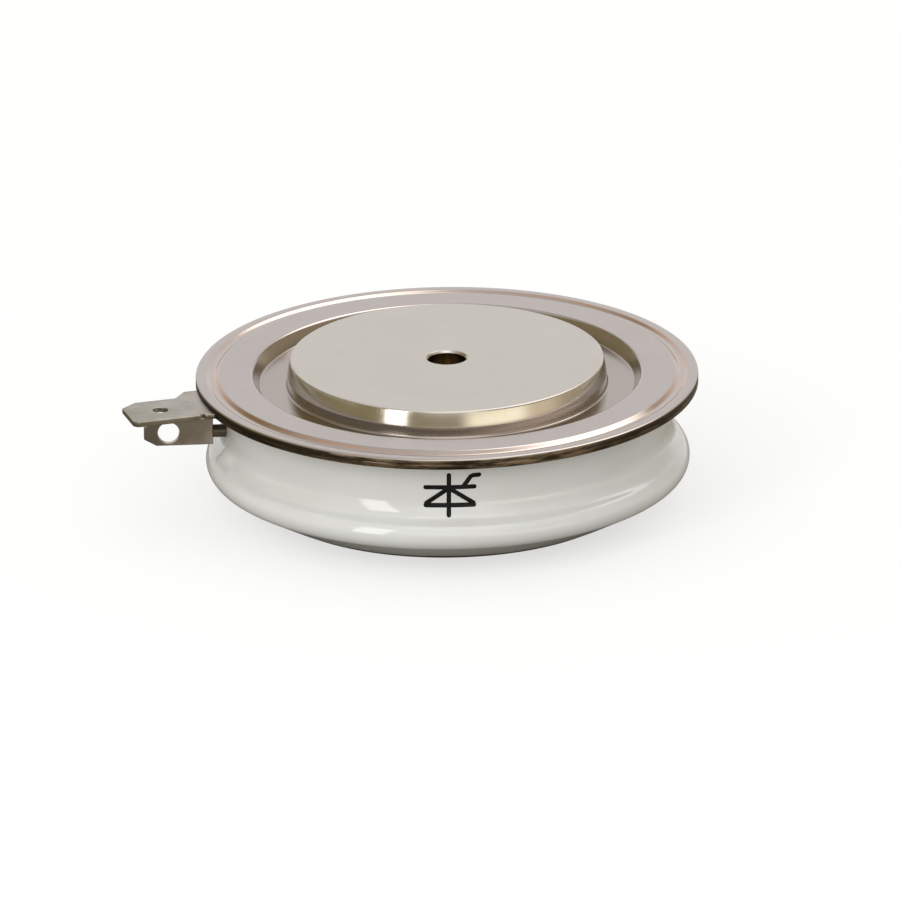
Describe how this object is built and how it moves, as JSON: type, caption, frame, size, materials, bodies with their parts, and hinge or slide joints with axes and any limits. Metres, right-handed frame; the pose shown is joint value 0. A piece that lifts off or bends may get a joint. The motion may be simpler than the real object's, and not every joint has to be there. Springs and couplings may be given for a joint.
{
  "type": "disc thyristor",
  "caption": "Flat press-pack thyristor capsule: plated copper poles on both faces, a ribbed glazed ceramic ring between them, and side tabs for the gate and the auxiliary cathode.",
  "frame": {"origin": "middle of the anode pole face, on the capsule's axis", "axes": "+Z along the capsule's axis towards the cathode face; the tabs point towards -X"},
  "size_m": [0.0533, 0.0466, 0.014],
  "materials": {
    "nickel_plate": "satin nickel plate on copper",
    "flange_sheet": "satin nickel plate on thin sheet",
    "tab_sheet": "satin plate, bare copper tint at the cut edge",
    "glazed_ceramic": "gloss white glaze",
    "molybdenum": "lapped",
    "silicon": "polished, opaque",
    "silicone": "matt",
    "insulator": "matt",
    "spring_steel": "bright",
    "contact_metal": "bright"
  },
  "bodies": {
    "root": {"cathode_pole": "nickel_plate", "anode_pole": "nickel_plate", "cathode_flange": "flange_sheet", "anode_flange": "flange_sheet", "weld_ring": "tab_sheet", "gate_tab": "tab_sheet", "gate_tube": "tab_sheet", "ceramic_ring": "glazed_ceramic", "anode_disc": "molybdenum", "cathode_disc": "molybdenum", "silicon_wafer": "silicon", "edge_coating": "silicone", "centring_ring": "insulator", "gate_insulator": "insulator", "lead_sleeve": "insulator", "gate_spring": "spring_steel", "gate_contact": "contact_metal", "gate_lead": "contact_metal"}
  },
  "joints": []
}
